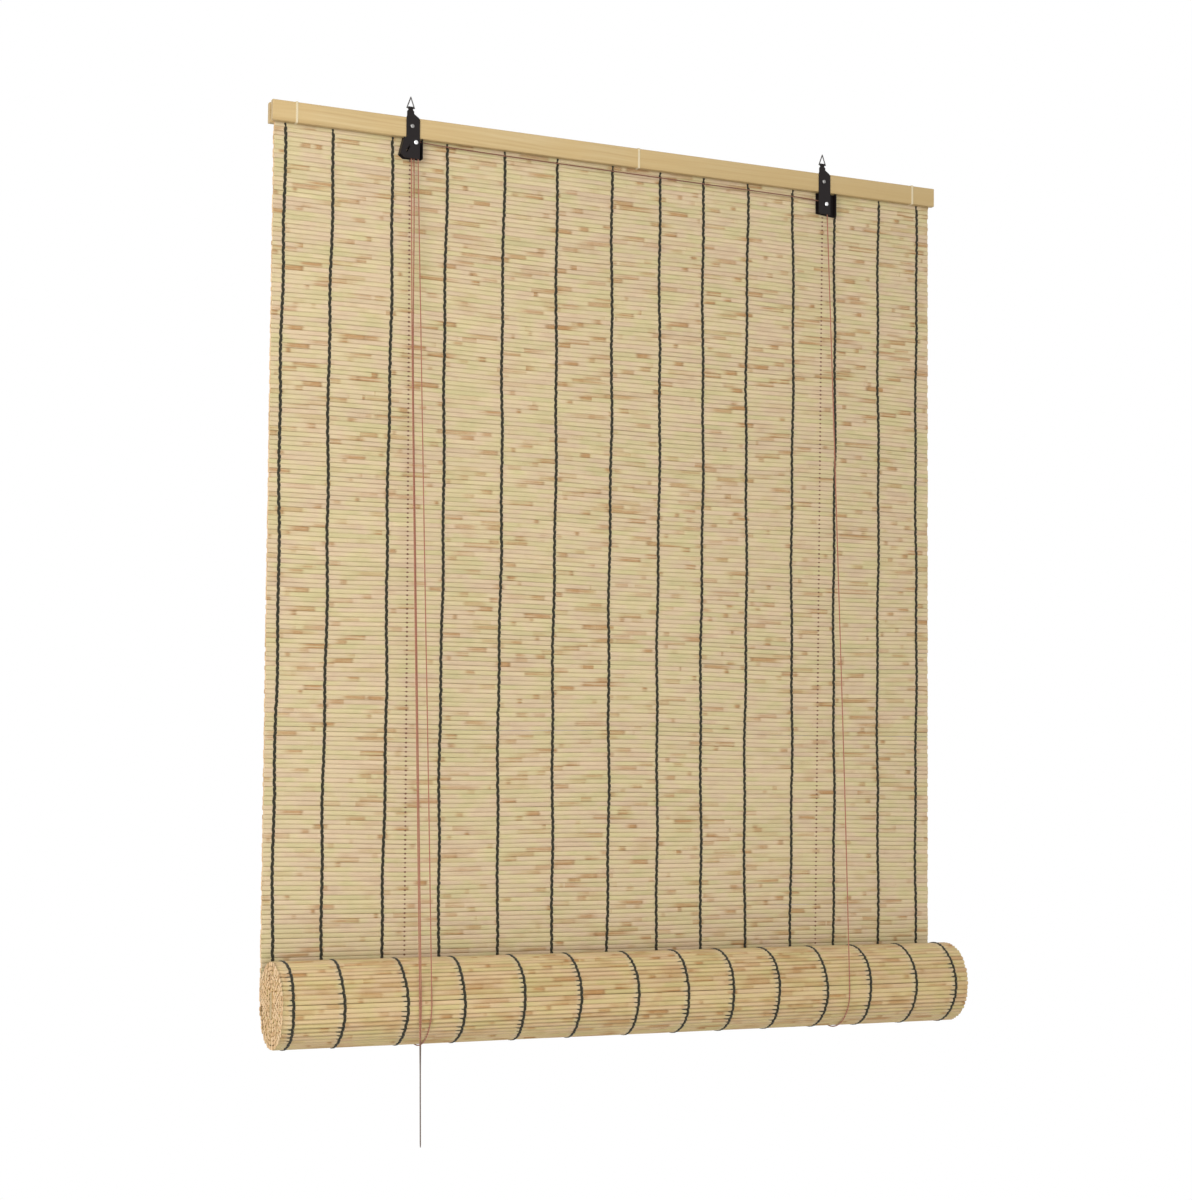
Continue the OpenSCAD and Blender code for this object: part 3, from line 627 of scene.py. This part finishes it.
def make_lift_cords(turns):
    """The two lift cords. Adds the turn of each over its wheel to the turns of its side."""
    for side, front, back, bights, hub, tag in (
            (-1, LEFT_FRONT, LEFT_BACK, LEFT_BIGHT_XS, LEFT_HUB, "left"),
            (1, RIGHT_FRONT, RIGHT_BACK, RIGHT_BIGHT_XS, RIGHT_HUB, "right")):
        turn, fall_path, low = parted(fine(side, front), hub)
        turns[side].append(turn)
        falling(cord_piece(f"{tag}_lift_cord_front", [fall_path], [f"{tag}_lift_front"]))
        obj = cord_piece(f"{tag}_lift_cord_back", [fine(side, back)], [f"{tag}_lift_back"])
        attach(obj, "headrail")
        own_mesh(obj)
        obj = cord_piece(f"{tag}_lift_cord_bight", [fine(side, bight(bights)) + low[::-1]],
                         [f"{tag}_lift_bight"])
        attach(obj, "lift_bights")
    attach(cord_piece("cross_cord_run", [fine(0, CROSS)], ["cross_cord"], material=CORD_IN_PAINTED_SHADE),
            "headrail")


def make_pull_cords(turns):
    """The two pull cords, each as its fall to the roll and its free end."""
    for tag, upper, lower in (("a", PULL_A, PULL_A_TAIL), ("b", PULL_B, PULL_B_TAIL)):
        turn, fall_path, low = parted(fine(-1, upper), LEFT_HUB)
        turns[-1].append(turn)
        obj = cord_piece(f"pull_cord_{tag}_fall", [fall_path], [f"pull_cord_{tag}_upper"])
        falling(obj)
        free_cord(fall_path)
        path = low + fine(-1, lower)
        obj = cord_piece(f"pull_cord_{tag}_tail", [path], [f"pull_cord_{tag}_lower"],
                         thins=BARE_END, material=TAIL)
        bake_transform(obj)
        free_cord(path)


def make_cords():
    turns = {-1: [], 1: []}
    make_lift_cords(turns)
    make_pull_cords(turns)
    for side, name in ((-1, "left"), (1, "right")):
        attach(cord_piece(f"{name}_wheel_cord_turns", turns[side], []), "headrail")


make_cords()


# reeds
def bow(a, power):
    """Cosine or sine of a section that is fuller than a circle."""
    return np.sign(a) * np.abs(a) ** power


def evenly(count):
    """Places along a reed, from end to end."""
    return np.linspace(-HALF, HALF, count)


def reed(build, y, z, index, xs, turn=0.0, sides=10, depth=REED_D / 2, height=PITCH / 2,
         uneven=0.0012, wander=0.00012, worn=None, full=0.50, lift=0.0):
    """One reed along X. turn swings its section, whose depth points to the room at 0 degrees.

    uneven is how much an end may fall short, wander how far the reed strays, lift how far it sits
    above z, and the share for each place of xs how much paler the reed is there. A smaller full squares
    its section."""
    dice = rng.random(2)
    ends = rng.random(2) ** 2 * uneven
    xs = np.clip(np.asarray(xs, float), -HALF + ends[0], HALF - ends[1])
    a1, a2, p1, p2 = rng.random(4) * 2 * math.pi
    slow, quick = 12 + 15 * rng.random(), 30 + 30 * rng.random()
    rise = lift + wander * (0.7 * np.sin(slow * xs + a1) + 0.4 * np.sin(quick * xs + a2))
    out = 0.6 * wander * np.sin(slow * xs + p1)
    girth = 0.985 + 0.012 * rng.standard_normal() + 0.012 * np.sin(quick * xs + p2)
    girth = np.clip(girth, 0.95, 1.02)
    angles = (0.5 + np.arange(sides)) * 2 * math.pi / sides
    c = depth * bow(np.cos(angles), full)
    s = height * bow(np.sin(angles), full)
    u = -out[:, None] + np.minimum(girth, 0.995)[:, None] * c[None, :]
    v = rise[:, None] + girth[:, None] * s[None, :]
    t = math.radians(turn)
    verts = np.zeros((len(xs), sides, 3))
    verts[:, :, 0] = xs[:, None]
    verts[:, :, 1] = y - u * math.cos(t) - v * math.sin(t)
    verts[:, :, 2] = z - u * math.sin(t) + v * math.cos(t)
    mark = (index, dice[0], dice[1])
    worn = None if worn is None else np.repeat(worn, sides)
    build.add(verts.reshape(-1, 3), ring_faces(len(xs), sides), mark, worn=worn)
    build.add(verts[0], [tuple(reversed(range(sides)))], mark, slot=1, flat=True)
    build.add(verts[-1], [tuple(range(sides))], mark, slot=1, flat=True)


CALM_TOP, CALM_LOW, CALM_FADE = -0.02, -1.14, 0.15   # the reeds lie even beyond these heights


def drift(x, z):
    """How far the reeds near a place sit above or below their even spacing."""
    loose = np.clip(min(CALM_TOP - z, z - CALM_LOW) / CALM_FADE, 0, 1)
    slow = 0.0011 * np.sin(9.1 * x + 7.3 * z + 1.0)
    quick = 0.0008 * np.sin(15.7 * x - 12.0 * z + 4.0)
    return loose * (slow + quick)


def make_hanging_mat():
    build = Build()
    for i in range(REEDS):
        z = mat_low.z + (i + 0.5) * PITCH
        hidden = z > RAIL_BOTTOM + REED_D
        xs = evenly(3 if hidden else 29)
        height = PITCH / 2 * (1.085 - 0.055 * rng.random() ** 3)
        reed(build, MAT_Y, z, i, xs, height=height, lift=drift(xs, z))
    obj = build.finish("reed_mat", [REED, REED_END])
    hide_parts("hanging_mat")
    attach(obj, "headrail")
    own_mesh(obj)


# the roll, whose outer turn ends where it meets the hanging mat
FLAT_OFF = ROLL_R - REED_D - STRING_T - SEAT_GAP
FLAT_ANGLE = math.degrees(math.acos(FLAT_OFF / ROLL_R))
ROLL_REEDS = 50
REED_STEP = (360 - FLAT_ANGLE) / ROLL_REEDS
# how much paler a rolled reed is at distances beside a string
PALE_SHARES_BESIDE = ((-0.040, 0.0), (-0.0085, 0.0), (-0.0055, 0.9), (-0.0005, 0.9), (0.0010, 0.0))
SLAT_ROOM_Y, SLAT_ROOM_Z = 0.0065, 0.0193   # half of what the inner reeds leave for the slat
INNER_PITCH = 0.00575   # from reed to reed along an inner turn
TURN_STEP = 0.00545   # from one inner turn to the next
LEAST_TURN = 0.004   # radius at which the inner turns stop
DISC_SIDES = 72
DISC_INSET = 0.0024
DISC_RADII = (ROLL_R - 0.0032, 0.003)


def roll_point(r, angle):
    """Y and Z at a radius and an angle that runs from the mat downwards."""
    a = math.radians(angle)
    return ROLL_Y + r * math.cos(a), -DROP - r * math.sin(a)


def pale_sections():
    """Places along a rolled reed, and how much paler it is there, beside each string."""
    xs, worn = [-HALF], [0.0]
    for x0 in STRING_XS:
        xs += [x0 + off for off, _ in PALE_SHARES_BESIDE]
        worn += [share for _, share in PALE_SHARES_BESIDE]
    xs, worn = np.array(xs + [HALF]), np.array(worn + [0.0])
    order = np.argsort(xs)
    return xs[order], worn[order]


def outer_turn(build):
    """The reeds that show round the roll."""
    xs, worn = pale_sections()
    for i in range(ROLL_REEDS):
        a = (i + 0.5) * REED_STEP + rng.normal(0, 0.12)
        y, z = roll_point(ROLL_R - REED_D / 2 - abs(rng.normal(0, 0.00010)), a)
        narrow = 0.895 if rng.random() < 0.38 else 1.0
        reed(build, y, z, i, xs, turn=180 + a, height=PITCH / 2 * 1.07 * narrow, worn=worn)


def second_turn(build):
    """The turn below, where it shows beside the hanging mat."""
    for k in range(5):
        reed(build, ROLL_Y + FLAT_OFF - REED_D / 2, -DROP + 0.0005 + k * PITCH, 60 + k, evenly(11))


def inner_turns(build):
    """The reeds packed round the slat, of which only the cut ends show."""
    r, ring = ROLL_R - 1.5 * REED_D - 0.0001, 0
    while r > LEAST_TURN:
        count = int(2 * math.pi * r / INNER_PITCH)
        for k in range(count):
            a = 360 * (k + 0.37 * ring) / count
            y, z = roll_point(r + rng.normal(0, 0.00022), a)
            if abs(y - ROLL_Y) < SLAT_ROOM_Y and abs(z + DROP) < SLAT_ROOM_Z:
                continue
            if ring == 0 and y - ROLL_Y > FLAT_OFF - REED_D * 1.45:
                continue
            size = REED_D / 2 * (0.93 + 0.11 * rng.random())
            reed(build, y, z, 70 + k + 53 * ring, evenly(2), turn=a, sides=8, depth=size,
                 height=size, uneven=0.0016, wander=0.0, full=0.9)
        r -= TURN_STEP
        ring += 1


def end_discs(build):
    """What lies between the cut ends, a little way in."""
    angles = np.linspace(0, 2 * math.pi, DISC_SIDES, endpoint=False)
    for side in (-1, 1):
        x = side * (HALF - DISC_INSET)
        disc = [(x, ROLL_Y + min(r * math.cos(a), FLAT_OFF - 0.003), -DROP - r * math.sin(a))
                for r in DISC_RADII for a in angles]
        faces = [f if side > 0 else tuple(reversed(f)) for f in ring_faces(2, DISC_SIDES)]
        build.add(disc, faces, (7, 0.35, 0.5), slot=1, flat=True)


def make_roll():
    build = Build()
    outer_turn(build)
    second_turn(build)
    inner_turns(build)
    end_discs(build)
    obj = build.finish("rolled_reeds", [REED_ROLL, REED_END])
    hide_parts("rolled_mat")
    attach(obj, "roll")


# strings. Girths are half widths: in the valley between two reeds, and twice on a reed
STRING_GIRTHS = (0.00148, 0.00222, 0.00206)
STRING_CREST = 0.00032   # how far its middle line stands out from a reed
STRING_VALLEY = 0.0006   # how far it sinks in between two reeds
STRING_SWING = 0.00055   # how far a loop goes to either side
LOOP_REACH = 0.22   # where a loop bends on its reed, as a share of the pitch
ROLL_GIRTHS = (0.00158, 0.00204, 0.00192)
ROLL_CREST = 0.00028
ROLL_VALLEY = 0.0004
ROLL_SWING = 0.0005
ROLL_STRING_FROM = 3.9   # degrees of the outer turn left bare at both ends of a string
YARN_FROM, YARN_TO = 128, 238   # the side of the roll that faces the room, in degrees
YARN_DEPTHS = (0.0006, 0.0005, 0.0006, 0.0011)
YARN_GIRTHS = (0.00075, 0.00075, 0.00062, 0.00025)


def make_strings():
    """Twined warp strings: a slanting loop over each reed, drawn in between the reeds."""
    for face, sign, node in (("front", -1, "front_strings"), ("back", 1, "back_strings")):
        build = Build()
        crest = MAT_Y + sign * (REED_D / 2 + STRING_CREST)
        valley = MAT_Y + sign * (REED_D / 2 - STRING_VALLEY)
        for number, x0 in enumerate(STRING_XS):
            phase, lean = rng.random(2) * 2 * math.pi
            top = RAIL_BOTTOM - 0.0002
            path, radii = [(x0, crest, top)], [0.00150]
            count = int((top - mat_low.z) / PITCH)
            for i in range(count):
                z = mat_low.z + (count - 0.5 - i) * PITCH
                sway = 0.0010 * math.sin(z * 11 + phase) + 0.0006 * math.sin(z * 37 + lean)
                sway += rng.normal(0, 0.00018)
                side = STRING_SWING if (i + number) % 2 else -STRING_SWING
                x = x0 + sway
                z += float(drift(x0, z))
                path += [(x - side, valley, z + PITCH / 2),
                         (x - 0.3 * side, crest, z + PITCH * LOOP_REACH),
                         (x + 0.6 * side, crest, z - PITCH * LOOP_REACH)]
                radii += STRING_GIRTHS
            path.append((x0, valley, mat_low.z + 0.0005))
            radii.append(0.0010)
            sweep(build, path, radii, sides=6, flatten=[(0, 1, 0)] * len(path), flat=0.40)
        obj = build.finish(f"warp_twine_{face}", [TWINE])
        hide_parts(node)
        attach(obj, "headrail")
        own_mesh(obj)


def yarn_in_gap(build, x0, angle):
    """Yarn that shows in a gap of the roll, to the left of the string. Its dark is partly painted shade
    of the opened gap.
    """
    reach = 0.0045 + 0.0045 * rng.random()
    line = [(x0 + 0.0003 - reach * k / 3, *roll_point(ROLL_R - depth, angle))
            for k, depth in enumerate(YARN_DEPTHS)]
    sweep(build, line, YARN_GIRTHS, sides=5)


def make_roll_strings():
    """The same strings round the roll, with the yarn seen in the opened gaps beside them, which is partly
    painted shade.
    """
    build = Build()
    outs = (-ROLL_VALLEY, ROLL_CREST, ROLL_CREST)
    loop = tuple(zip((0.0, 0.3, 0.7), outs, (-1, -0.3, 0.5), ROLL_GIRTHS))
    last = 360 - FLAT_ANGLE - ROLL_STRING_FROM
    for number, x0 in enumerate(STRING_XS):
        path, radii, outwards = [], [], []
        phase = rng.random() * 6.28
        for i in range(ROLL_REEDS + 1):
            side = ROLL_SWING if (i + number) % 2 else -ROLL_SWING
            sway = 0.0007 * math.sin(i * REED_STEP * 0.06 + phase) + rng.normal(0, 0.00015)
            for part, out, shift, girth in loop:
                a = (i + part) * REED_STEP
                if a < ROLL_STRING_FROM or a > last:
                    continue
                path.append((x0 + sway + shift * side, *roll_point(ROLL_R + out, a)))
                radii.append(girth)
                outwards.append((0, math.cos(math.radians(a)), -math.sin(math.radians(a))))
            a = i * REED_STEP
            # dark yarn in the opened gaps: real yarn, and partly painted shade of the gap
            if YARN_FROM <= a <= YARN_TO and rng.random() >= 0.25:
                yarn_in_gap(build, x0, a)
        sweep(build, path, radii, sides=6, flatten=outwards, flat=0.42)
    obj = build.finish("warp_twine_roll", [TWINE])
    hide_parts("roll_strings")
    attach(obj, "roll")


DOT_SIDES = 8
DOT_W, DOT_H = (0.0013, 0.0005), (0.00105, 0.0004)   # half sizes: the least, and what chance adds


def make_back_run_dots():
    """The back runs of the lift cords show between the reeds as dots, drawn in the cord's tones darkened
    as painted shade.
    """
    corners = np.linspace(0, 2 * math.pi, DOT_SIDES, endpoint=False)
    for side, route, tag in ((-1, LEFT_BACK, "left"), (1, RIGHT_BACK, "right")):
        build = Build()
        (x1, _, z1), (x2, _, z2), (x3, _, z3) = at_hook(side, route)
        for i in range(REEDS - 4):
            z = mat_low.z + (i + 1) * PITCH
            if z > RAIL_BOTTOM - 0.004 or z < -DROP + ROLL_R * 0.2:
                continue
            x = float(np.interp(z, [z3, z2, z1], [x3, x2, x1]))
            z += float(drift(x, z))
            w, h = (least + more * rng.random() for least, more in (DOT_W, DOT_H))
            ring = [(x + w * math.cos(a), MAT_FRONT + 0.0001, z + h * math.sin(a)) for a in corners]
            back = [(p[0], MAT_BACK, z + 0.4 * (p[2] - z)) for p in ring]
            build.add(ring + back, ring_faces(2, DOT_SIDES) + [tuple(range(DOT_SIDES))])
        obj = build.finish(f"{tag}_back_run_in_gaps", [CORD_IN_PAINTED_SHADE])
        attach(obj, "headrail")
        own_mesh(obj)


make_hanging_mat()
make_roll()
make_strings()
make_roll_strings()
make_back_run_dots()

# floor and light
FLOOR_Z = -1.75
FLOOR_HALF = 9
SHADOW_REACH = 1.2
AMBIENT = 0.68
WATTS = 52
LAMPS = (("key", (-2.3, -1.9, 0.4), 1.8), ("low", (-0.8, -3.4, -1.5), 1.6))
LAMPS_AIM = (0, 0, -0.6)


def seen_rays(tree):
    """1 for the rays that show the background: the camera's, and those off metal or through glass."""
    path = tree.nodes.new("ShaderNodeLightPath")
    total = path.outputs["Is Camera Ray"]
    for ray in ("Is Glossy Ray", "Is Transmission Ray"):
        larger = tree.nodes.new("ShaderNodeMath")
        larger.operation = "MAXIMUM"
        tree.links.new(total, larger.inputs[0])
        tree.links.new(path.outputs[ray], larger.inputs[1])
        total = larger.outputs[0]
    return total


def white_to_camera(name, bounce):
    """White where the camera looks at it, and pale paint for the light that it throws back.

    It keeps the soft shadow of what stands or hangs over it."""
    n = Nodes(name)
    n.done((bounce, bounce, bounce), 0.9, 0.5)
    shadow = n.node("ShaderNodeAmbientOcclusion", {"Color": WHITE, "Distance": SHADOW_REACH})
    glow = n.node("ShaderNodeEmission", {"Color": shadow.outputs["Color"], "Strength": 1.0})
    surfaces = {0: seen_rays(n.tree), 1: n.shader.outputs[0], 2: glow.outputs[0]}
    mix = n.node("ShaderNodeMixShader", surfaces)
    n.fill(n.tree.nodes["Material Output"].inputs["Surface"], mix.outputs[0])
    return n.material


def make_floor():
    corners = [(x * FLOOR_HALF, y * FLOOR_HALF, FLOOR_Z) for x, y in ((-1, -1), (1, -1), (1, 1), (-1, 1))]
    floor = new_object("floor", corners, [(0, 1, 2, 3)])
    floor.data.materials.append(white_to_camera("pale_floor", 0.75))


def make_world():
    """Even light from all round, and white where it is seen."""
    world = bpy.data.worlds.new("studio")
    bpy.context.scene.world = world
    world.use_nodes = True
    tree = world.node_tree
    light = tree.nodes["Background"]
    light.inputs["Strength"].default_value = AMBIENT
    seen = tree.nodes.new("ShaderNodeBackground")
    for background in (light, seen):
        background.inputs["Color"].default_value = (1, 1, 1, 1)
    seen.inputs["Strength"].default_value = 1.0
    mix = tree.nodes.new("ShaderNodeMixShader")
    tree.links.new(seen_rays(tree), mix.inputs[0])
    tree.links.new(light.outputs[0], mix.inputs[1])
    tree.links.new(seen.outputs[0], mix.inputs[2])
    tree.links.new(mix.outputs[0], tree.nodes["World Output"].inputs["Surface"])


def make_lamps():
    for name, place, size in LAMPS:
        lamp = bpy.data.lights.new(name, "AREA")
        lamp.shape = "DISK"
        lamp.size = size
        lamp.energy = WATTS
        obj = bpy.data.objects.new(name, lamp)
        obj.location = place
        obj.rotation_euler = (Vector(LAMPS_AIM) - Vector(place)).to_track_quat("-Z", "Y").to_euler()
        bpy.context.scene.collection.objects.link(obj)


make_floor()
make_world()
make_lamps()
bpy.context.scene.view_settings.view_transform = "Standard"

bpy.context.view_layer.update()
